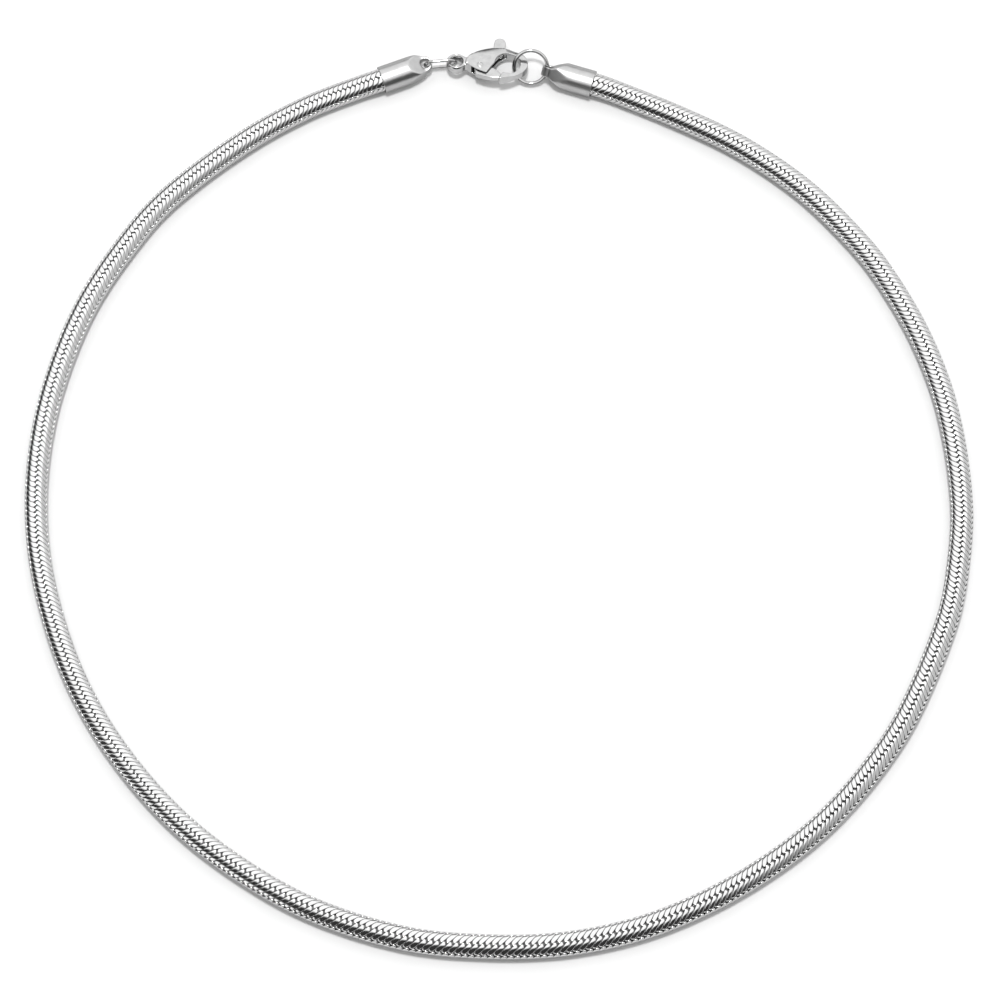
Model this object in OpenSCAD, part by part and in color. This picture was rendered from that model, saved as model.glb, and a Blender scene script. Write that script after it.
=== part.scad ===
// Round snake chain necklace, fastened, lying flat in a whole loop.
// Millimetres, +Z up, origin on the surface that it lies on, at the middle of its outline.
// The front of the loop is at -Y and the clasp is at +Y.

/* [Chain] */
// Diameter of the round chain
chain_d = 3.8; // [3.5:0.1:4.2]
// Flat sides round the chain's tube
chain_sides = 12; // [8:2:16]
// Depth that each chain end reaches into its cap
chain_stub = 3.8; // [2:0.1:3.9]

/* [End caps] */
// Length of an end cap from rim to nose
cap_len = 8.6; // [8:0.1:9]
// Wall of the tube round the chain
cap_wall = 0.24; // [0.15:0.01:0.3]
// Thickness of the flattened nose
nose_t = 1.6; // [1.4:0.1:1.8]
// Width of the nose round its eye
nose_w = 2.7; // [2.6:0.1:3]
// Diameter of the eye through the nose
eye_d = 1.6; // [1.5:0.05:1.7]

/* [Rings] */
// Outside diameter of the jump ring
ring_od = 6; // [5.9:0.05:6.1]
// Wire of the jump ring
ring_wire = 0.6; // [0.5:0.05:0.65]
// Wire of the connector link
link_wire = 0.5; // [0.4:0.05:0.55]

/* [Clasp] */
// Length of the clasp's body without its tail ring
body_l = 10; // [9.8:0.1:10.2]
// Width of the clasp's body
body_w = 6.2; // [6:0.1:6.4]
// Thickness of the clasp's body round the lever
body_t = 2.4; // [2.3:0.1:2.6]
// Thickness of the clasp's body at the hook's end
hook_t = 1.8; // [1.7:0.1:2]
// Diameter of the opening inside the hook
hook_bore = 4.1; // [4:0.05:4.2]
// Lean of the clasp, whose gate side lies higher than its spine
clasp_tilt = 20; // [18:1:22]

/* [Hidden] */
$fn = 48;

// A little extra length, so that a cutting tool passes through a face
past = 1;

// Clearance round the chain in a cap, round the pin in the lever, and round the pin in the cheeks
chain_gap = 0.04;
pin_gap = 0.04;
cheek_gap = 0.01;

// Heights of the two axes above the surface
cap_d = chain_d + 2 * chain_gap + 2 * cap_wall;
chain_z = chain_d / 2;
cap_z = cap_d / 2;

// Bearings of the chain's two ends, from the +X direction
right_turn = -17;
left_turn = 20.5;

// Route of the chain's axis on the surface, from the right cap's rim by the front to the left cap's rim
route_xy = [
    [15.2, 67], [19.5, 65.5], [31, 60.5], [39.5, 56], [48.5, 49.5], [55.5, 42.5],
    [61, 35.5], [67, 24.5], [71, 12.5], [72.9, -2.5], [72, -14], [70, -22.5],
    [64, -36.5], [58.5, -45], [51, -53.5], [43, -60], [33, -66], [22, -70.5],
    [10, -73], [-2.5, -73.35], [-15, -72], [-29, -67.5], [-40.5, -61], [-50.5, -53],
    [-59.5, -42.5], [-66, -31.5], [-70.5, -19], [-72.65, -7.5], [-72.65, 4.5], [-70.5, 16.5],
    [-65.5, 30], [-57.5, 42.5], [-51.5, 49], [-40.5, 57.5], [-31, 63], [-22.5, 66.5],
    [-18.9, 67.7]
];
route_end = len(route_xy) - 1;
steps_per_span = 2;

// End cap: depth of its bore, where its flats begin and end, the arcs of its plan and its eye
cap_bore_depth = 4;
cap_flat_start = 4.7;
cap_flat_end = 7.1;
cap_side_r = 10;
cap_side_from = 5;
eye_from_nose = 1.1;

// Clasp's own frame: its middle, its half sizes and the arcs of its oval outline
clasp_at = [-0.3, 70, 2.55];
half_l = body_l / 2;
half_w = body_w / 2;
end_r = 2.4;
end_x = half_l - end_r;
side_drop = (end_x * end_x - pow(half_w - end_r, 2)) / (2 * (half_w - end_r));
side_r = half_w + side_drop;

// Tail ring of the clasp
tail_at = [-6.55, 0.45];
tail_od = 3.2;
tail_hole = 2;
tail_t = 1.6;

// Opening inside the hook, and the corner where the cheeks end
hook_at = [1.75, -0.1];
shoulder = [0.98, 1.82];
corner = [-1.75, -2.1];
tail_edge = [-5.4, 0.1];
cheek_bend = [-3, -1.5];

// Hollow for the lever: its thickness, its end near the tail and the wall left along the spine
slot_t = 1.55;
slot_left = -4.1;
spine_wall = 0.75;
thumb_slot_t = 1.05;
thumb_slot_x = [-2.65, 1.55];

// Lever: pivot, reach of the gate, thumb tab and thicknesses
pivot = [-2.7, -0.55];
pin_d = 0.8;
boss_r = 1.05;
gate_reach = 3.8;
gate_gap = 0.15;
gate_inset = 0.3;
gate_t = 1.4;
thumb_t = 0.85;
thumb_w = 1.5;
tab_w = 1.86;
knee = [0.35, 2.9];
tab_end = [0.5, 4.55];
gate_inner = [[-3.5, -0.6], [-0.6, -0.85], [0.75, -2.1]];

// Jump ring: middle and lean
ring_r = (ring_od - ring_wire) / 2;
ring_at = [5.15, 69.8, 2.55];
ring_tilt = 32;
right_roll = -30;

// Connector link: the two wires' distance and the length between its bends
link_h = 2.8;
link_l = 5;
link_at = [-9.4, 70.45, 2.25];
link_turn = 5;

function bearing(a) = [cos(a), sin(a), 0];

// Points of the route, with the two rims at the caps' height and the rest lying on the surface
function route_point(i) = [route_xy[i][0], route_xy[i][1], (i == 0 || i == route_end) ? cap_z : chain_z];
function span(i) = norm(route_point(i + 1) - route_point(i));
function level(v) = [v[0], v[1], 0];
function heading(i) =
    i == 0 ? bearing(right_turn)
    : i == route_end ? bearing(left_turn)
    : level(route_point(i + 1) - route_point(i - 1)) / (span(i) + span(i - 1));

// Smooth curve from point i to the next, by a cubic through both with their headings
function on_span(i, t) =
    route_point(i) * (2 * pow(t, 3) - 3 * pow(t, 2) + 1)
    + heading(i) * span(i) * (pow(t, 3) - 2 * pow(t, 2) + t)
    + route_point(i + 1) * (3 * pow(t, 2) - 2 * pow(t, 3))
    + heading(i + 1) * span(i) * (pow(t, 3) - pow(t, 2));
axis_points = concat(
    [route_point(0) - bearing(right_turn) * chain_stub],
    [for (i = [0 : route_end - 1]) for (k = [0 : steps_per_span - 1]) on_span(i, k / steps_per_span)],
    [route_point(route_end), route_point(route_end) + bearing(left_turn) * chain_stub]
);

// Ring of points round the axis at point i, square to the route
function ring_points(path, i, radius, sides) =
    let (
        last = len(path) - 1,
        ahead = path[min(i + 1, last)] - path[max(i - 1, 0)],
        along = ahead / norm(ahead),
        side = cross([0, 0, 1], along) / norm(cross([0, 0, 1], along)),
        up = cross(along, side)
    )
    [for (k = [0 : sides - 1]) path[i] + radius * (side * sin(360 * k / sides) - up * cos(360 * k / sides))];

module swept_tube(path, radius, sides) {
    rings = len(path);
    points = [for (i = [0 : rings - 1]) each ring_points(path, i, radius, sides)];
    walls = [
        for (i = [0 : rings - 2]) for (k = [0 : sides - 1])
            let (a = i * sides + k, b = i * sides + (k + 1) % sides)
            each [[a, a + sides, b + sides], [a, b + sides, b]]
    ];
    first_face = [for (k = [0 : sides - 1]) k];
    last_face = [for (k = [0 : sides - 1]) rings * sides - 1 - k];
    polyhedron(points = points, faces = concat(walls, [first_face, last_face]));
}

module chain() {
    color("silver")
    swept_tube(axis_points, chain_d / 2, chain_sides);
}

// Side view of an end cap that lies along +X from its rim at the origin, with its eye along Z
module cap_side_view() {
    polygon([
        [0, -cap_d / 2], [cap_flat_start, -cap_d / 2], [cap_flat_end, -nose_t / 2], [cap_len, -nose_t / 2],
        [cap_len, nose_t / 2], [cap_flat_end, nose_t / 2], [cap_flat_start, cap_d / 2], [0, cap_d / 2]
    ]);
}

// Plan of the nose: two shallow arcs that run in to the round tip
module cap_plan() {
    side_from = cap_len - cap_side_from;
    translate([0, -cap_d / 2])
    square([side_from, cap_d]);
    intersection() {
        translate([side_from, cap_d / 2 - cap_side_r])
        circle(r = cap_side_r, $fn = 96);
        translate([side_from, cap_side_r - cap_d / 2])
        circle(r = cap_side_r, $fn = 96);
        translate([side_from - past, -cap_d / 2])
        square([cap_len - nose_w / 2 - side_from + past, cap_d]);
    }
    translate([cap_len - nose_w / 2, 0])
    circle(d = nose_w);
}

module end_cap() {
    difference() {
        intersection() {
            rotate([0, 90, 0])
            cylinder(d = cap_d, h = cap_len, $fn = 96);
            rotate([90, 0, 0])
            linear_extrude(height = cap_d + past, center = true)
            cap_side_view();
            linear_extrude(height = cap_d + past, center = true)
            cap_plan();
        }
        translate([-past, 0, 0])
        rotate([0, 90, 0])
        cylinder(d = chain_d + 2 * chain_gap, h = cap_bore_depth + past, $fn = 96);
        translate([cap_len - eye_from_nose, 0, 0])
        cylinder(d = eye_d, h = nose_t + past, center = true);
    }
}

module end_cap_left() {
    color("gainsboro")
    translate(route_point(route_end))
    rotate([0, 0, left_turn])
    end_cap();
}

module end_cap_right() {
    color("gainsboro")
    translate(route_point(0))
    rotate([0, 0, 180 + right_turn])
    rotate([90 + right_roll, 0, 0])
    end_cap();
}

// Ring of round wire in the XY plane
module wire_ring(r, wire) {
    rotate_extrude($fn = 64)
    translate([r, 0])
    circle(d = wire, $fn = 32);
}

module jump_ring() {
    color("silver")
    translate(ring_at)
    rotate([ring_tilt, 0, 0])
    wire_ring(ring_r, ring_wire);
}

// Oval link that stands on edge: two straight wires, joined at each end by half a ring
module connector_link() {
    straight = link_l - link_h;
    color("silver")
    translate(link_at)
    rotate([90, 0, link_turn])
    union() {
        for (end = [-1, 1])
            translate([end * straight / 2, 0, 0])
            rotate([0, 0, -90 * end])
            rotate_extrude(angle = 180, $fn = 64)
            translate([link_h / 2, 0])
            circle(d = link_wire, $fn = 32);
        for (side = [-1, 1])
            translate([0, side * link_h / 2, 0])
            rotate([0, 90, 0])
            cylinder(d = link_wire, h = straight, center = true, $fn = 32);
    }
}

// Puts a shape from the clasp's own frame in its place
module in_clasp() {
    translate(clasp_at)
    rotate([-clasp_tilt, 0, 0])
    children();
}

// Oval of four arcs, drawn smaller all round by inset
module oval(inset) {
    join = end_x + (end_r - inset) * end_x / (side_r - end_r);
    intersection() {
        translate([0, side_drop])
        circle(r = side_r - inset, $fn = 128);
        translate([0, -side_drop])
        circle(r = side_r - inset, $fn = 128);
        square([2 * join, body_w], center = true);
    }
    for (end = [-1, 1])
        translate([end * end_x, 0])
        circle(r = end_r - inset, $fn = 64);
}

// Opening of the hook, with the gap that the gate closes
module opening_plan() {
    translate(hook_at)
    circle(d = hook_bore, $fn = 64);
    intersection() {
        translate(pivot)
        circle(r = gate_reach + gate_gap, $fn = 64);
        polygon([
            shoulder, corner, [corner[0], -body_w],
            [body_l, -body_w], [body_l, hook_at[1]]
        ]);
    }
}

// Gate side of the cheeks, cut back so that the lever stands proud of them
module cheek_cut_plan() {
    polygon([
        tail_edge, cheek_bend, corner,
        [corner[0], -body_w], [tail_edge[0] - past, -body_w], [tail_edge[0] - past, tail_edge[1]]
    ]);
}

// Hollow between the cheeks, from the tail to the opening and up to the spine's wall
module hollow_plan() {
    intersection() {
        polygon([
            [slot_left, -body_w], [corner[0] + past, -body_w], [corner[0] + past, corner[1]],
            [shoulder[0], hook_at[1]], [shoulder[0], body_w], [slot_left, body_w]
        ]);
        union() {
            oval(spine_wall);
            translate([-half_l, -body_w])
            square([body_l, body_w]);
        }
    }
}

// Side view of the body, which thins from the cheeks' corner to the hook's end
module body_side_view() {
    polygon([
        [-half_l, -body_t / 2], [corner[0], -body_t / 2], [half_l, -hook_t / 2],
        [half_l, hook_t / 2], [corner[0], body_t / 2], [-half_l, body_t / 2]
    ]);
}

module tail_ring() {
    translate(tail_at)
    cylinder(d = tail_od, h = tail_t, center = true);
    translate([(tail_at[0] - half_l + past) / 2, tail_at[1], 0])
    cube([-tail_at[0] - half_l + 2 * past, tail_od / 2, tail_t], center = true);
}

module clasp_body() {
    color("gainsboro")
    in_clasp()
    difference() {
        union() {
            intersection() {
                linear_extrude(height = body_t, center = true)
                difference() {
                    oval(0);
                    opening_plan();
                    cheek_cut_plan();
                }
                rotate([90, 0, 0])
                linear_extrude(height = body_w + past, center = true)
                body_side_view();
            }
            tail_ring();
        }
        linear_extrude(height = slot_t, center = true)
        hollow_plan();
        translate([thumb_slot_x[0], 0, -thumb_slot_t / 2])
        cube([thumb_slot_x[1] - thumb_slot_x[0], body_w, thumb_slot_t]);
        translate(tail_at)
        cylinder(d = tail_hole, h = tail_t + past, center = true);
        translate(pivot)
        cylinder(d = pin_d + 2 * cheek_gap, h = body_t + past, center = true);
    }
}

module bar_plan(from, to, width) {
    translate(from)
    rotate(atan2(to[1] - from[1], to[0] - from[0]))
    translate([0, -width / 2])
    square([norm(to - from), width]);
    for (end = [from, to])
        translate(end)
        circle(d = width);
}

// Gate from its heel to the end that meets the hook's tip
module gate_plan() {
    intersection() {
        oval(gate_inset);
        translate(pivot)
        circle(r = gate_reach, $fn = 64);
        polygon(concat(gate_inner, [[gate_inner[2][0], -body_w], [gate_inner[0][0], -body_w]]));
    }
}

module clasp_lever() {
    color("silver")
    in_clasp()
    difference() {
        union() {
            linear_extrude(height = gate_t, center = true) {
                gate_plan();
                translate(pivot)
                circle(r = boss_r);
            }
            linear_extrude(height = thumb_t, center = true) {
                bar_plan(pivot, knee, thumb_w);
                bar_plan(knee, tab_end, tab_w);
            }
        }
        translate(pivot)
        cylinder(d = pin_d + 2 * pin_gap, h = gate_t + past, center = true);
    }
}

module pivot_pin() {
    color("gainsboro")
    in_clasp()
    translate(pivot)
    cylinder(d = pin_d, h = body_t, center = true);
}

chain();
end_cap_left();
end_cap_right();
connector_link();
clasp_body();
clasp_lever();
pivot_pin();
jump_ring();
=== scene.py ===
# Looks of the round snake chain necklace: the chain's plates, the polished end caps, clasp and rings.
# Metres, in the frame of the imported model: +Z up, the clasp at +Y, the surface at Z = 0.
import math

import bpy
import numpy as np
from mathutils import Matrix, Vector


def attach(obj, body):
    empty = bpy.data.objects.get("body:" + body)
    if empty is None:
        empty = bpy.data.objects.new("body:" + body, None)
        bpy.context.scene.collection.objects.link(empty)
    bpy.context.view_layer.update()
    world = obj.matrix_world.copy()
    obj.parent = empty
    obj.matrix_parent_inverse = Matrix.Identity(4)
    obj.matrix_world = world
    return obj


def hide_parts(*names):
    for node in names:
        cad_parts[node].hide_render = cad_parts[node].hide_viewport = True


MM = 0.001

# Camera at the photograph's viewing angle
CAMERA_AT = (0.0002, -0.2088, 0.7727)
CAMERA_TILT = 15
CAMERA_LENS = 182.27
CAMERA_NEAR = 0.01
SENSOR = 36

# Studio: white light above an edge, which lies higher towards the front, up to a most. The edge is soft, from
# the height where it starts to where it is over, each given at the left and then at the middle and right.
WHITE_LIGHT = 1.5
EDGE_LEAN = (0.085, -0.4, 0)
EDGE_LEAN_MOST = 0.185
EDGE_STARTS = (0.53, 0.52)
EDGE_OVER = (0.74, 0.6)
# Below the edge the studio is dark, but lit from the right, and most at the back right
DARK_LIGHT = 0.045
RIGHT_LIGHT = 0.78
RIGHT_SPAN = (0.55, 1)
BACK_RIGHT = (0.707, 0.707, 0)
BACK_RIGHT_SPAN = (0.8, 0.95)
# A small low light at the front left
LOW_LIGHT_AT = (-0.72, -0.68, 0.14)
LOW_LIGHT_SPAN = (0.935, 0.965)
LOW_LIGHT = 1.4
# The lamp above, and the floor
KEY_AT = (-0.02, 0.12, 1.28)
KEY_SIZE = 0.18
KEY_WATTS = 12.3
FLOOR_HALF = 3
FLOOR_TONES = (0.6, 0.615)
FLOOR_TONE_SPAN = (0.3, 0.7)
FLOOR_NOISE = (60, 2)
FLOOR_ROUGHNESS = 0.7
FLOOR_SPECULAR = 0.1

# Steels, each with its lighter and darker tone, its lowest and highest roughness, and how strong its waves
# and its hairline scratches are
POLISHED = (0.49, 0.44, 0.12, 0.17, 0.06, 0.04)
SATIN = (0.47, 0.43, 0.26, 0.33, 0.04, 0.04)
WIRE = (0.48, 0.42, 0.06, 0.12, 0.1, 0.05)
PLATES = (0.68, 0.64, 0.06, 0.13, 0.08, 0.12)
# Near-black steel for the chain's core and the plates' skirts: painted shade in the gaps between the plates
PAINTED_SHADE_STEEL = (0.08, 0.04, 0.4, 0.5, 0.1, 0.1)
# Scale and detail of the steels' noises, and the real height of the waves and the hairlines
PATCH_NOISE = (900, 3)
PATCH_SPAN = (0.35, 0.65)
DULL_NOISE = (2600, 4)
WAVE_NOISE = (1100, 1)
WAVE_HEIGHT = 0.05 * MM
HAIRLINE_NOISE = (9000, 2)
HAIRLINE_STRETCH = (0.15, 1, 1)
HAIRLINE_HEIGHT = 0.004 * MM
GRAZING_TINT = (0.5, 0.5, 0.5, 1)

# Chain, with the route's points from the right cap's rim by the front to the left cap's rim
CHAIN_R = 1.88 * MM
CHAIN_Z = 1.9 * MM
CAP_Z = 2.18 * MM
RIGHT_TURN = -17
LEFT_TURN = 20.5
ROUTE_XY = [
    (0.0152, 0.067), (0.0195, 0.0655), (0.031, 0.0605), (0.0395, 0.056), (0.0485, 0.0495),
    (0.0555, 0.0425), (0.061, 0.0355), (0.067, 0.0245), (0.071, 0.0125), (0.0729, -0.0025),
    (0.072, -0.014), (0.07, -0.0225), (0.064, -0.0365), (0.0585, -0.045), (0.051, -0.0535),
    (0.043, -0.06), (0.033, -0.066), (0.022, -0.0705), (0.01, -0.073), (-0.0025, -0.07335),
    (-0.015, -0.072), (-0.029, -0.0675), (-0.0405, -0.061), (-0.0505, -0.053), (-0.0595, -0.0425),
    (-0.066, -0.0315), (-0.0705, -0.019), (-0.07265, -0.0075), (-0.07265, 0.0045), (-0.0705, 0.0165),
    (-0.0655, 0.03), (-0.0575, 0.0425), (-0.0515, 0.049), (-0.0405, 0.0575), (-0.031, 0.063),
    (-0.0225, 0.0665), (-0.0189, 0.0677),
]
SAMPLES_PER_SPAN = 24
EVEN_SAMPLES = 6000
STUB = 3.8 * MM
PLATES_IN_CAP = 2.4 * MM
CORE_R = CHAIN_R - 0.6 * MM
CORE_SIDES = 16
CORE_STEP = 8

# Plates: six rows round the chain, numbered from -1 down outside a seam on top and from 0 up inside it, each
# offset along the chain from the next
ROWS = 6
ROW_TURN = 2 * math.pi / ROWS
ROW_LENGTH = CHAIN_R * ROW_TURN
ROW_SHIFT = 0.66
SECOND_OUTER, FIRST_OUTER, FIRST_INNER, SECOND_INNER = -2, -1, 0, 1
# A row is a little flattened between its seams, but bulges where the second outer row shows at the front
RIDGE = 0.045 * MM
FLAT = 0.11 * MM
FRONT_BULGE = (1.7, 270, 40)
# Each plate is crowned a little, rounded at its sides and ends, and has a skirt down to a smaller radius
CROWN = 0.012 * MM
SIDE_ROUND = (0.09 * MM, 0.06 * MM)
END_ROUND = (0.1 * MM, 0.2 * MM)
SKIRT_R = CHAIN_R - 0.65 * MM
# Lines of a plate's grid: along it from seam to seam, across it from side to side, and both ways in the rows
# that are hidden below
FINE_ALONG = (0, 0.04, 0.12, 0.3, 0.5, 0.7, 0.88, 0.96, 1)
FINE_ACROSS = (0, 0.05, 0.15, 0.32, 0.5, 0.68, 0.85, 0.95, 1)
COARSE = (0, 0.06, 0.28, 0.5, 0.72, 0.94, 1)

# How the plates vary round the loop: a value, then each swell's rise, and its bearing and width in degrees.
# Lengths are in millimetres. First their pitch, how far the chain lies rolled inward in radians, how deep the
# rows mesh at the top seam, the share of that at the lower seams, and how sharp the teeth are.
PITCH = (0.82, (0.19, 275, 40))
ROLL = (0, (0.05, 180, 25), (-0.06, 270, 15))
MESH_DEPTH = (0.42, (0.28, 262, 35))
LOW_MESH = 0.4
TOOTH_SHARPNESS = 9
# Their lean near the top seam, one row down with the rise and bearing of its wave round the loop, and lower
INNER_NEAR = (0.3, (0.5, 290, 40), (0.15, 5, 35))
INNER_FAR, INNER_FAR_WAVE, INNER_FAR_SWELL = 0.75, (0.4, 190), (0.3, 10, 30)
OUTER_NEAR = (0.3, (0.4, 300, 40))
OUTER_FAR, OUTER_FAR_WAVE = 0.7, (0.35, 345)
LOW_LEAN = 0.5
# Gaps beside them, wider at the front, wider in some rows, and shut at the left in the first outer row
FRONT = (280, 65)
SHUT = (165, 50)
SIDE_GAP, SIDE_GAP_FRONT = 0.012, 0.02
SIDE_GAP_MORE = {SECOND_INNER: 0.035, SECOND_OUTER: 0.015}
SHUT_GAP, SHUT_DEPTH = 0.7, 0.6
# Gaps at their ends, narrower at the first inner seam and at the back right of the first outer seam
END_GAP, END_GAP_FRONT = 0.055, 0.055
INNER_END_GAP = (0.03, (0.07, 295, 40))
OUTER_END_SHUT = (0.6, 40, 35)
# Corners cut back, as a share of the width and as a length, less at the first inner seam
CUT, CUT_FRONT, CUT_INNER = 0.36, 0.12, 0.3
CUT_REACH, CUT_REACH_FRONT = 0.38, 0.16
# Where the ends at the first seam on each side are hardly rounded
SMOOTH_AT = {-1: (45, 35), 1: (205, 45)}
SMOOTH_SHARE = 0.8

# Places of the clasp, the caps, the jump ring and the connector link
CLASP_AT = (-0.0003, 0.07, 0.00255)
CLASP_TILT = -20
RIGHT_ROLL = -30
RING_AT = (0.00515, 0.0698, 0.00255)
RING_TILT = 32
RING_R = 2.7 * MM
RING_WIRE = 0.6 * MM
LINK_AT = (-0.0094, 0.07045, 0.00225)
LINK_TURN = 5
LINK_H = 2.8 * MM
LINK_L = 5 * MM
LINK_WIRE = 0.5 * MM
WIRE_STEPS = 96
WIRE_SIDES = 20

# Pin through the clasp, with the dome of its heads as shares of their radius and depths below their top
PIVOT = (-2.7 * MM, -0.55 * MM)
PIN_D = 0.8 * MM
PIN_L = 2.16 * MM
PIN_SIDES = 24
PIN_HEAD_R = 1.15 * MM / 2
PIN_DOME = ((0, 0), (0.5, 0.006 * MM), (0.85, 0.03 * MM), (1, 0.1 * MM))
PIN_NECK = 0.16 * MM

# Softened pieces, in millimetres in their own frames: voxel size and rounds of smoothing, with more rounds at
# the caps' bends
PER_METRE = 1000
WELD = 0.001
CLASP_SOFT = (0.06, 22)
LEVER_SOFT = (0.055, 20)
CAP_SOFT = (0.06, 8)
BEND_ROUNDS = 45
SMOOTHING = 0.5
# Tables along a piece, of places and of the values there: share of the caps' extra smoothing, share by which
# the lever gets thinner, height inside the clasp that stays, and share of the clasp's slope and of its tail
CAP_BENDS = ((3.4, 4.4, 6.6, 7.4), (0, 1, 1, 0.25))
LEVER_THINNER = ((2, 3.4), (0.4, 0.15))
SLOT_HALF = 0.79
CLASP_STAYS = ((-5, -4.5, 1.5, 3), (0.05, SLOT_HALF, SLOT_HALF, 0.3))
CLASP_SLOPE = ((-5, -3.8, 1.5, 4.5), (0, 0.95, 0.95, 0.4))
IN_TAIL = ((-5.5, -5.2), (1, 0))
# The clasp's half length and half width, and its tail ring: middle, radius, half section and least section
CLASP_HALF_L, CLASP_HALF_W = 5, 3.1
TAIL_AT = (-6.55, 0.45)
TAIL_R = 1.3
TAIL_HALF = 0.38
TAIL_LEAST = 0.2


def add_object(name, mesh):
    o = bpy.data.objects.new(name, mesh)
    bpy.context.scene.collection.objects.link(o)
    return o


def mesh_from(name, points, faces):
    mesh = bpy.data.meshes.new(name)
    mesh.from_pydata([tuple(p) for p in points], [], [tuple(f) for f in faces])
    mesh.update()
    mesh.polygons.foreach_set("use_smooth", [True] * len(mesh.polygons))
    return add_object(name, mesh)


def dress(o, body, nodes, material):
    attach(o, body)
    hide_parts(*nodes)
    o.data.materials.clear()
    o.data.materials.append(material)


def turned(degrees, axis):
    return Matrix.Rotation(math.radians(degrees), 4, axis)


def make_camera():
    data = bpy.data.cameras.new("photo_camera")
    data.sensor_width = SENSOR
    data.lens = CAMERA_LENS
    data.clip_start = CAMERA_NEAR
    o = add_object("photo_camera", data)
    o.location = CAMERA_AT
    o.rotation_euler = (math.radians(CAMERA_TILT), 0, 0)
    bpy.context.scene.camera = o


# A new node, with each input linked where a socket is given for it, and else set
def add_node(tree, kind, inputs, **settings):
    made = tree.nodes.new(kind)
    for name, value in settings.items():
        setattr(made, name, value)
    for key, value in inputs.items():
        if isinstance(value, bpy.types.NodeSocket):
            tree.links.new(value, made.inputs[key])
        else:
            made.inputs[key].default_value = value
    return made


def new_material(name):
    m = bpy.data.materials.new(name)
    m.use_nodes = True
    return m, m.node_tree, m.node_tree.nodes["Principled BSDF"]


def ramp(tree, source, places, levels):
    r = add_node(tree, "ShaderNodeValToRGB", {"Fac": source})
    for element, place, level in zip(r.color_ramp.elements, places, levels):
        element.position = place
        element.color = (level, level, level, 1)
    return r.outputs["Color"]


def noise(tree, scale_detail, stretch=(1, 1, 1)):
    scale, detail = scale_detail
    place = add_node(tree, "ShaderNodeTexCoord", {})
    turn = add_node(tree, "ShaderNodeMapping", {"Vector": place.outputs["Object"], "Scale": stretch})
    n = add_node(
        tree, "ShaderNodeTexNoise",
        {"Vector": turn.outputs["Vector"], "Scale": scale, "Detail": detail},
    )
    return n.outputs["Fac"]


# Polished steel, with a slight unevenness that bends its reflections, hairline scratches, and cleaner and
# duller patches
def steel(name, light, dark, rough_low, rough_high, uneven, scratch):
    m, tree, shader = new_material(name)
    shader.inputs["Metallic"].default_value = 1
    shader.inputs["Specular Tint"].default_value = GRAZING_TINT
    tone = ramp(tree, noise(tree, PATCH_NOISE), PATCH_SPAN, (dark, light))
    dullness = add_node(
        tree, "ShaderNodeMapRange",
        {"Value": noise(tree, DULL_NOISE), "To Min": rough_low, "To Max": rough_high},
    )
    waves = add_node(
        tree, "ShaderNodeBump",
        {"Strength": uneven, "Distance": WAVE_HEIGHT, "Height": noise(tree, WAVE_NOISE)},
    )
    lines = add_node(
        tree, "ShaderNodeBump",
        {"Strength": scratch, "Distance": HAIRLINE_HEIGHT,
         "Height": noise(tree, HAIRLINE_NOISE, HAIRLINE_STRETCH), "Normal": waves.outputs["Normal"]},
    )
    tree.links.new(tone, shader.inputs["Base Color"])
    tree.links.new(dullness.outputs["Result"], shader.inputs["Roughness"])
    tree.links.new(lines.outputs["Normal"], shader.inputs["Normal"])
    return m


def paper():
    m, tree, shader = new_material("pale_floor")
    shader.inputs["Roughness"].default_value = FLOOR_ROUGHNESS
    shader.inputs["Specular IOR Level"].default_value = FLOOR_SPECULAR
    tone = ramp(tree, noise(tree, FLOOR_NOISE), FLOOR_TONE_SPAN, FLOOR_TONES)
    tree.links.new(tone, shader.inputs["Base Color"])
    return m


def make_floor():
    h = FLOOR_HALF
    floor = mesh_from("floor", [(-h, -h, 0), (h, -h, 0), (h, h, 0), (-h, h, 0)], [(0, 1, 2, 3)])
    floor.data.materials.append(paper())


# Value from a socket, run from one span to another, evenly or with a soft start and end
def spread(tree, value, span, levels=(0, 1), soft=True):
    made = add_node(
        tree, "ShaderNodeMapRange",
        {"Value": value, "From Min": span[0], "From Max": span[1], "To Min": levels[0], "To Max": levels[1]},
        interpolation_type="SMOOTHSTEP" if soft else "LINEAR",
    )
    return made.outputs["Result"]


def towards(tree, direction, way):
    made = add_node(tree, "ShaderNodeVectorMath", {0: direction, 1: way}, operation="DOT_PRODUCT")
    return made.outputs["Value"]


def worked(tree, operation, a, b):
    return add_node(tree, "ShaderNodeMath", {0: a, 1: b}, operation=operation).outputs["Value"]


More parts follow.
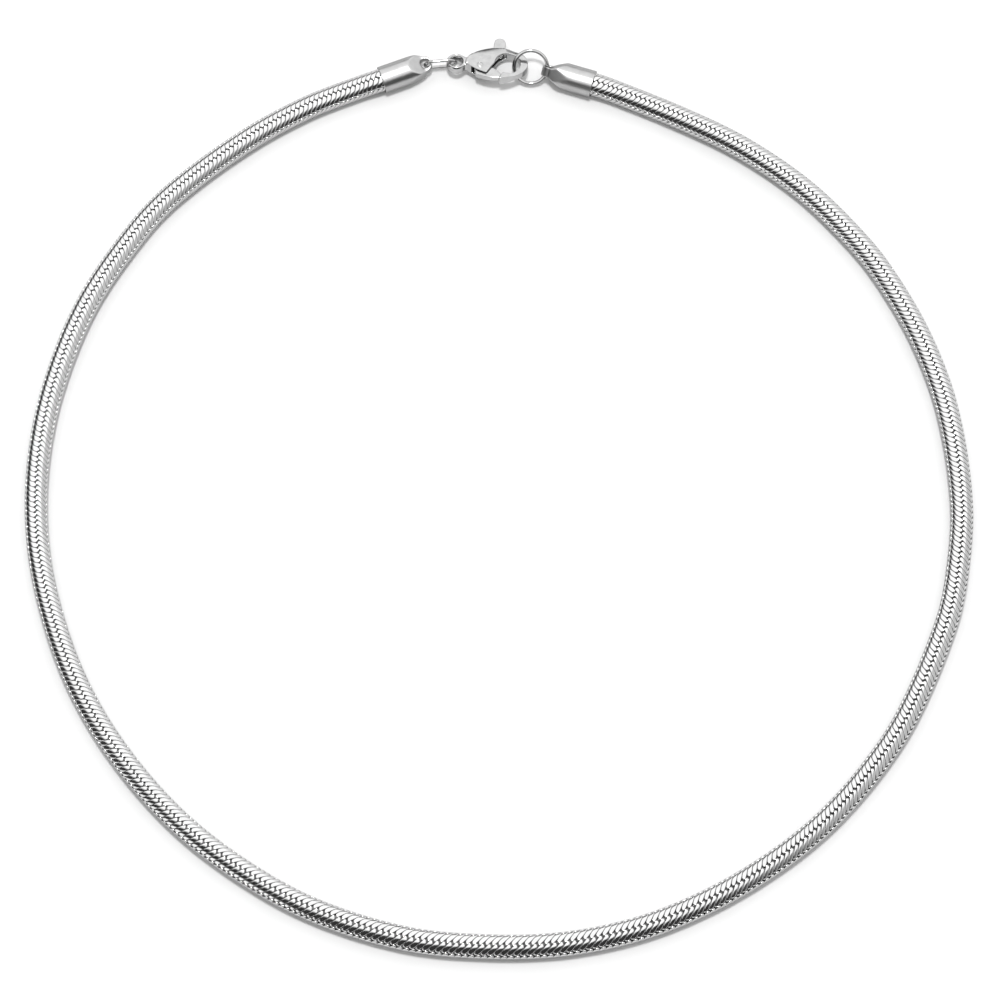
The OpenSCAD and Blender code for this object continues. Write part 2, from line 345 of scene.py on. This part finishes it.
# Soft white light all round from above, with the dark side of the studio below it at the left and the front.
# The edge of the white is softer at the left. The right is lit lower down, the back right all the way, and a
# small light stands low at the front left.
def make_world():
    world = bpy.data.worlds.new("studio")
    bpy.context.scene.world = world
    world.use_nodes = True
    tree = world.node_tree
    direction = add_node(tree, "ShaderNodeTexCoord", {}).outputs["Generated"]
    height = add_node(tree, "ShaderNodeSeparateXYZ", {"Vector": direction}).outputs["Z"]
    level = add_node(tree, "ShaderNodeVectorMath", {0: direction, 1: (1, 1, 0)}, operation="MULTIPLY")
    unit = add_node(tree, "ShaderNodeVectorMath", {0: level.outputs["Vector"]}, operation="NORMALIZE")
    bearing = unit.outputs["Vector"]
    right = add_node(tree, "ShaderNodeSeparateXYZ", {"Vector": bearing}).outputs["X"]

    lean = worked(tree, "MINIMUM", towards(tree, bearing, EDGE_LEAN), EDGE_LEAN_MOST)
    above = worked(tree, "SUBTRACT", height, lean)
    edge = [spread(tree, right, (-1, 0), heights, soft=False) for heights in (EDGE_STARTS, EDGE_OVER)]
    share = spread(tree, above, edge)
    side = spread(tree, right, RIGHT_SPAN, (DARK_LIGHT, RIGHT_LIGHT))
    back = spread(tree, towards(tree, bearing, BACK_RIGHT), BACK_RIGHT_SPAN)
    below = worked(tree, "MAXIMUM", side, back)
    all_round = spread(tree, share, (0, 1), (below, WHITE_LIGHT), soft=False)
    low = spread(tree, towards(tree, direction, LOW_LIGHT_AT), LOW_LIGHT_SPAN, (0, LOW_LIGHT))
    background = tree.nodes["Background"]
    background.inputs["Color"].default_value = (1, 1, 1, 1)
    tree.links.new(worked(tree, "MAXIMUM", all_round, low), background.inputs["Strength"])


def make_key():
    key = bpy.data.lights.new("key", "AREA")
    key.shape = "DISK"
    key.size = KEY_SIZE
    key.energy = KEY_WATTS
    o = add_object("key", key)
    o.location = KEY_AT
    o.rotation_euler = (-Vector(KEY_AT)).to_track_quat("-Z", "Y").to_euler()


# Axis of the chain, run from the left cap to the right cap: lengths, points and directions inward and up
def chain_axis():
    last = len(ROUTE_XY) - 1
    route = np.array([(x, y, CAP_Z if i in (0, last) else CHAIN_Z) for i, (x, y) in enumerate(ROUTE_XY)])
    span = np.linalg.norm(np.diff(route, axis=0), axis=1)
    heading = np.zeros_like(route)
    heading[1:-1] = (route[2:] - route[:-2]) / (span[1:] + span[:-1])[:, None]
    heading[0] = (math.cos(math.radians(RIGHT_TURN)), math.sin(math.radians(RIGHT_TURN)), 0)
    heading[-1] = (math.cos(math.radians(LEFT_TURN)), math.sin(math.radians(LEFT_TURN)), 0)
    heading[:, 2] = 0
    t = (np.arange(SAMPLES_PER_SPAN) / SAMPLES_PER_SPAN)[:, None]
    pieces = [route[:1] - heading[0] * STUB]
    for i in range(last):
        pieces.append(
            route[i] * (2 * t**3 - 3 * t**2 + 1) + heading[i] * span[i] * (t**3 - 2 * t**2 + t)
            + route[i + 1] * (3 * t**2 - 2 * t**3) + heading[i + 1] * span[i] * (t**3 - t**2)
        )
    pieces += [route[-1:], route[-1:] + heading[-1] * STUB]
    points = np.vstack(pieces)[::-1]
    steps = np.linalg.norm(np.diff(points, axis=0), axis=1)
    length = np.concatenate([[0], np.cumsum(steps)])
    even = np.linspace(0, length[-1], EVEN_SAMPLES)
    points = np.stack([np.interp(even, length, points[:, k]) for k in range(3)], 1)
    along = np.gradient(points, axis=0)
    along /= np.linalg.norm(along, axis=1)[:, None]
    inward = np.cross((0, 0, 1), along)
    inward /= np.linalg.norm(inward, axis=1)[:, None]
    up = np.cross(along, inward)
    return even, points, inward, up


def looked_up(axis, s):
    even, *vectors = axis
    return [np.stack([np.interp(s, even, v[:, k]) for k in range(3)], -1) for v in vectors]


# Bearing round the loop of the axis at each length, in degrees
def bearing_at(axis, s):
    even, points = axis[:2]
    return np.interp(s, even, np.unwrap(np.arctan2(points[:, 1], points[:, 0]))) * 180 / math.pi


def bump(bearing, middle, width):
    off = (bearing - middle + 180) % 360 - 180
    return np.exp(-((off / width) ** 2))


def wave(bearing, middle):
    return np.cos(np.radians(bearing - middle))


def varied(bearing, value, *swells):
    for rise, middle, width in swells:
        value = value + rise * bump(bearing, middle, width)
    return value


# Lean of the plates near the top seam, and one row down
def leans(bearing, inner):
    if inner:
        rise, middle = INNER_FAR_WAVE
        far = varied(bearing, INNER_FAR + rise * wave(bearing, middle), INNER_FAR_SWELL)
        return varied(bearing, *INNER_NEAR), far
    rise, middle = OUTER_FAR_WAVE
    return varied(bearing, *OUTER_NEAR), OUTER_FAR + rise * wave(bearing, middle)


# Gaps beside and at the ends of a row's plates, how far and how long their corners are cut back at each end,
# and how deep their sides and ends are rounded. A row lies between the seams of its own and the next number.
def gaps_of(bearing, row):
    seams = (row, row + 1)
    front = bump(bearing, *FRONT)
    shut = bump(bearing, *SHUT) if row == FIRST_OUTER else 0
    side = SIDE_GAP + SIDE_GAP_FRONT * front + SIDE_GAP_MORE.get(row, 0)
    side = side * (1 - SHUT_GAP * shut) * MM
    even_end = (END_GAP + END_GAP_FRONT * front) * MM
    outer_shut, middle, width = OUTER_END_SHUT
    end_gaps = {
        1: varied(bearing, *INNER_END_GAP) * MM,
        -1: even_end * (1 - outer_shut * bump(bearing, middle, width)),
    }
    ends = [end_gaps.get(seam, even_end) for seam in seams]
    cut = CUT + CUT_FRONT * front
    cuts = [cut * (CUT_INNER if seam == 1 else 1) for seam in seams]
    reach = (CUT_REACH + CUT_REACH_FRONT * front) * MM
    smooth = [bump(bearing, *SMOOTH_AT[seam]) if seam in SMOOTH_AT else 0 for seam in seams]
    end_depths = [END_ROUND[1] * (1 - SMOOTH_SHARE * share) for share in smooth]
    return side, ends, cuts, reach, SIDE_ROUND[1] * (1 - SHUT_DEPTH * shut), end_depths


# Distance along the chain that a plate gains from the top seam to the arc length l on the round surface
def gained(bearing, l, inner):
    near, far = leans(bearing, inner)
    m = np.abs(l)
    first = np.minimum(m, ROW_LENGTH)
    rest = np.maximum(m - ROW_LENGTH, 0)
    total = near * first + (far - near) * first**2 / (2 * ROW_LENGTH) + LOW_LEAN * rest
    return total if inner else -total


# A plate's end, as a tooth whose tip lies at the share ROW_SHIFT of its width
def tooth(b):
    rise = b / ROW_SHIFT
    fall = (1 - b) / (1 - ROW_SHIFT)
    return -np.log(np.exp(-TOOTH_SHARPNESS * rise) + np.exp(-TOOTH_SHARPNESS * fall)) / TOOTH_SHARPNESS


def rounded(distance, reach, depth):
    x = 1 - np.clip(distance / reach, 0, 1)
    return depth * (1 - np.sqrt(np.clip(1 - x * x, 0, 1)))


# Lengths along the chain at which a row's plates begin and end, with the row's offset from the others
def plate_edges(axis, row):
    even = axis[0]
    pitch = varied(bearing_at(axis, even)[:-1], *PITCH) * MM
    phase = np.concatenate([[0], np.cumsum(np.diff(even) / pitch)]) + ROW_SHIFT * row
    low, high = np.interp([STUB - PLATES_IN_CAP, even[-1] - STUB + PLATES_IN_CAP], even, phase)
    return np.interp(np.arange(math.ceil(low), math.floor(high) + 1), phase, even)


# Radius of the chain at an arc length from the top seam, before a plate's own rounding
def level_at(l, at, row):
    rows_down = np.abs(l) / ROW_LENGTH
    u = rows_down % 1
    bulge, middle, width = FRONT_BULGE
    flat = FLAT * (1 - bulge * bump(at, middle, width)) if row == SECOND_OUTER else FLAT
    below = RIDGE * (1 - np.clip(rows_down - 2, 0, 1))
    return CHAIN_R + np.where(rows_down < 2, RIDGE - flat * 4 * u * (1 - u), below)


# Faces of a row's plates, each a grid of points, and a number for every face: one in the plate's skirt,
# which the outermost faces make, and else zero
def plate_faces(count, rows, columns):
    first = (np.arange(count) * rows * columns)[:, None, None]
    i = np.arange(rows - 1)[None, :, None] * columns
    j = np.arange(columns - 1)[None, None, :]
    corner = first + i + j
    faces = np.stack([corner, corner + 1, corner + columns + 1, corner + columns], -1).reshape(-1, 4)
    skirts = np.ones(corner.shape, dtype=int)
    skirts[:, 1:-1, 1:-1] = 0
    return faces, skirts.ravel()


# One row of plates round the chain, from the seam at row * ROW_TURN to the next seam. The rows mesh fully at
# the top seam, less at the lower ones and not at all where the chain lies on the floor.
def make_row(name, axis, row, alongs, acrosses):
    edges = plate_edges(axis, row)
    a = np.array([alongs[0], *alongs, alongs[-1]])[None, :, None]
    b = np.array([acrosses[0], *acrosses, acrosses[-1]])[None, None, :]
    start, width = edges[:-1, None, None], np.diff(edges)[:, None, None]
    side, ends, cuts, reach, side_depth, end_depths = gaps_of(bearing_at(axis, start), row)
    share = side / width
    end_share = np.clip(np.minimum(a, 1 - a) * ROW_LENGTH / reach, 0, 1)
    cut = np.where(a < 0.5, cuts[0], cuts[1]) * (1 - np.sqrt(1 - (1 - end_share) ** 2))
    across = 0.5 + (b - 0.5) * (1 - 2 * share - cut)
    foot = start + across * width
    at = bearing_at(axis, foot)
    deep = varied(at, *MESH_DEPTH) * MM
    mesh_shares = {0: 1, ROWS // 2: 0}
    first_deep, last_deep = [deep * mesh_shares.get(abs(seam), LOW_MESH) for seam in (row, row + 1)]
    l0 = row * ROW_LENGTH + first_deep * (0.5 - tooth(across)) + ends[0]
    l1 = (row + 1) * ROW_LENGTH - last_deep * (0.5 - tooth(1 - across)) - ends[1]
    l = l0 + a * (l1 - l0)
    s = foot + gained(at, l, row >= FIRST_INNER)

    side_gap = np.minimum(b, 1 - b) * width
    end_gap = np.minimum(l - l0, l1 - l)
    end_depth = np.where(l - l0 < l1 - l, end_depths[0], end_depths[1])
    r = level_at(l, at, row) - CROWN * (2 * b - 1) ** 2
    r = r - rounded(side_gap, SIDE_ROUND[0], side_depth) - rounded(end_gap, END_ROUND[0], end_depth)
    r = np.broadcast_to(r, s.shape).copy()
    r[:, 0, :] = r[:, -1, :] = r[:, :, 0] = r[:, :, -1] = SKIRT_R

    centre, inward, up = looked_up(axis, s)
    turn = (l / CHAIN_R + varied(at, *ROLL))[..., None]
    points = centre + r[..., None] * (up * np.cos(turn) + inward * np.sin(turn))
    faces, skirts = plate_faces(*s.shape)
    return mesh_from(name, points.reshape(-1, 3), faces), skirts


def tube(name, centre, side, up, radius, sides, closed=False):
    turn = np.arange(sides) * 2 * math.pi / sides
    ring = side[:, None] * np.cos(turn)[None, :, None] + up[:, None] * np.sin(turn)[None, :, None]
    points = (centre[:, None] + radius * ring).reshape(-1, 3)
    count = len(centre)
    faces = []
    for i in range(count if closed else count - 1):
        this, after = i * sides, (i + 1) % count * sides
        for k in range(sides):
            k_next = (k + 1) % sides
            faces.append((this + k, this + k_next, after + k_next, after + k))
    if not closed:
        faces += [tuple(range(sides))[::-1], tuple((count - 1) * sides + k for k in range(sides))]
    return mesh_from(name, points, faces)


# Core of the chain in a near-black steel, and the rows of plates round it, whose skirts are as dark: painted
# shade that darkens the gaps between the plates
def make_chain(plate_look, painted_shade_look):
    axis = chain_axis()
    _, points, inward, up = [v[::CORE_STEP] for v in axis]
    core = tube("chain_core", points, inward, up, CORE_R, CORE_SIDES)
    dress(core, "necklace", ["chain"], painted_shade_look)
    for row in range(-ROWS // 2, ROWS // 2):
        hidden = row in (-ROWS // 2, ROWS // 2 - 1)
        grid = (COARSE, COARSE) if hidden else (FINE_ALONG, FINE_ACROSS)
        piece, skirts = make_row(f"chain_plates_{row + ROWS // 2 + 1}", axis, row, *grid)
        dress(piece, "necklace", ["chain"], plate_look)
        # The skirt faces take the near-black steel: painted shade in the gaps between the plates
        piece.data.materials.append(painted_shade_look)
        piece.data.polygons.foreach_set("material_index", skirts)


def applied(o):
    bpy.context.view_layer.update()
    made = bpy.data.meshes.new_from_object(o.evaluated_get(bpy.context.evaluated_depsgraph_get()))
    o.modifiers.clear()
    o.data = made
    points = np.empty(len(made.vertices) * 3)
    made.vertices.foreach_get("co", points)
    return points.reshape(-1, 3)


def smoothed(o, rounds, group=""):
    smooth = o.modifiers.new("smooth", "SMOOTH")
    smooth.factor = SMOOTHING
    smooth.iterations = rounds
    smooth.vertex_group = group


# Share of the extra smoothing along a cap: none at its rim, full where its flats begin, little at its eye
def cap_bends(points):
    return np.interp(points[:, 0], *CAP_BENDS)


# How far out a point of the clasp lies, squared: none at the body's middle and one at its outline
def outward(points):
    return np.minimum(np.hypot(points[:, 0] / CLASP_HALF_L, points[:, 1] / CLASP_HALF_W), 1) ** 2


# Lever made thinner towards its outline, less so at its thumb tab
def lever_crown(points):
    points[:, 2] *= 1 - np.interp(points[:, 1], *LEVER_THINNER) * outward(points)
    return points


# Outsides of the clasp's cheeks and hook sloped down to their outline, and its tail ring round in section
def clasp_crown(points):
    x, y, z = points.T
    inside = np.interp(x, *CLASP_STAYS)
    share = np.interp(x, *CLASP_SLOPE) * outward(points)
    thinner = share * (1 - inside / np.maximum(np.abs(z), inside))
    from_tail = np.hypot(x - TAIL_AT[0], y - TAIL_AT[1])
    section = np.sqrt(np.maximum(1 - ((from_tail - TAIL_R) / TAIL_HALF) ** 2, TAIL_LEAST))
    in_tail = np.interp(x, *IN_TAIL)
    points[:, 2] = z * (1 - thinner) * (1 - in_tail + in_tail * section)
    return points


# A CAD node's form with its edges rounded as by casting and polishing, worked in the node's own upright frame
def softened(name, node, place, soft, bends=None, crown=None):
    voxel, rounds = soft
    to_own = Matrix.Scale(PER_METRE, 4) @ place.inverted()
    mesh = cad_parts[node].data.copy()
    mesh.transform(to_own)
    o = add_object(name, mesh)
    weld = o.modifiers.new("weld", "WELD")
    weld.merge_threshold = WELD
    remesh = o.modifiers.new("remesh", "REMESH")
    remesh.mode = "VOXEL"
    remesh.voxel_size = voxel
    smoothed(o, rounds)
    points = applied(o)
    if bends:
        group = o.vertex_groups.new(name="bends")
        for i, share in enumerate(bends(points)):
            if share > 0:
                group.add([i], share, "REPLACE")
        smoothed(o, BEND_ROUNDS, "bends")
        applied(o)
        o.vertex_groups.clear()
    made = o.data
    if crown:
        made.vertices.foreach_set("co", crown(points).ravel())
    made.transform(to_own.inverted())
    made.polygons.foreach_set("use_smooth", [True] * len(made.polygons))
    made.name = name
    return o


# Ring of wire along a round or oval outline, whose two halves stand a straight length apart
def wire_ring(name, place, r, straight, wire):
    outline = []
    for k in range(WIRE_STEPS):
        turn = 2 * math.pi * (k + 0.5) / WIRE_STEPS
        shift = straight / 2 * (1 if math.cos(turn) > 0 else -1)
        outline.append((r * math.cos(turn) + shift, r * math.sin(turn), 0.0))
    centre = np.array(outline)
    along = np.roll(centre, -1, 0) - np.roll(centre, 1, 0)
    along /= np.linalg.norm(along, axis=1)[:, None]
    up = np.tile((0.0, 0.0, 1.0), (len(centre), 1))
    o = tube(name, centre, np.cross(along, up), up, wire / 2, WIRE_SIDES, closed=True)
    o.data.transform(place)
    return o


# Pin with a low domed head at each end
def make_pin(place):
    half = PIN_L / 2
    profile = [(share * PIN_HEAD_R, half - depth) for share, depth in PIN_DOME]
    profile += [(PIN_D / 2, half - PIN_NECK), (PIN_D / 2, 0)]
    rows = profile + [(r, -z) for r, z in profile[-2::-1]]
    points, faces = [], []
    for r, z in rows:
        for k in range(PIN_SIDES):
            turn = 2 * math.pi * k / PIN_SIDES
            points.append((PIVOT[0] + r * math.cos(turn), PIVOT[1] + r * math.sin(turn), z))
    for i in range(len(rows) - 1):
        this, after = i * PIN_SIDES, (i + 1) * PIN_SIDES
        for k in range(PIN_SIDES):
            k_next = (k + 1) % PIN_SIDES
            faces.append((this + k, after + k, after + k_next, this + k_next))
    pin = mesh_from("pin", points, faces)
    pin.data.transform(place)
    return pin


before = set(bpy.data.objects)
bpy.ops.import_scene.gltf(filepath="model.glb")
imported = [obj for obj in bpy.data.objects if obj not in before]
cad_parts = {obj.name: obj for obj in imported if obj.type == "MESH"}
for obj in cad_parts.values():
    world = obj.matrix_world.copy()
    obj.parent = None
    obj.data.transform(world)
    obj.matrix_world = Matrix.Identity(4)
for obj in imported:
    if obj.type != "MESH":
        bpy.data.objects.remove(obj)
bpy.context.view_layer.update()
bpy.context.scene.view_settings.view_transform = "Standard"
make_camera()
make_floor()
make_world()
make_key()

polished = steel("polished_steel", *POLISHED)
satin = steel("satin_steel", *SATIN)
wire_look = steel("wire_steel", *WIRE)
plate_look = steel("plate_steel", *PLATES)
# Painted shade: near-black steel for the chain's core and the plates' skirts
painted_shade_look = steel("shadowed_steel", *PAINTED_SHADE_STEEL)

make_chain(plate_look, painted_shade_look)

clasp_place = Matrix.Translation(CLASP_AT) @ turned(CLASP_TILT, "X")
clasp = softened("clasp", "clasp_body", clasp_place, CLASP_SOFT, crown=clasp_crown)
dress(clasp, "necklace", ["clasp_body"], polished)
lever = softened("lever", "clasp_lever", clasp_place, LEVER_SOFT, crown=lever_crown)
dress(lever, "lever", ["clasp_lever"], polished)

left_place = Matrix.Translation((*ROUTE_XY[-1], CAP_Z)) @ turned(LEFT_TURN, "Z")
left_cap = softened("left_cap", "end_cap_left", left_place, CAP_SOFT, bends=cap_bends)
dress(left_cap, "necklace", ["end_cap_left"], satin)
right_place = (
    Matrix.Translation((*ROUTE_XY[0], CAP_Z)) @ turned(180 + RIGHT_TURN, "Z") @ turned(90 + RIGHT_ROLL, "X")
)
right_cap = softened("right_cap", "end_cap_right", right_place, CAP_SOFT, bends=cap_bends)
dress(right_cap, "necklace", ["end_cap_right"], satin)

dress(make_pin(clasp_place), "necklace", ["pivot_pin"], polished)
ring_place = Matrix.Translation(RING_AT) @ turned(RING_TILT, "X")
ring = wire_ring("jump_ring_wire", ring_place, RING_R, 0, RING_WIRE)
dress(ring, "necklace", ["jump_ring"], wire_look)
link_place = Matrix.Translation(LINK_AT) @ turned(LINK_TURN, "Z") @ turned(90, "X")
link = wire_ring("connector_wire", link_place, LINK_H / 2, LINK_L - LINK_H, LINK_WIRE)
dress(link, "necklace", ["connector_link"], wire_look)
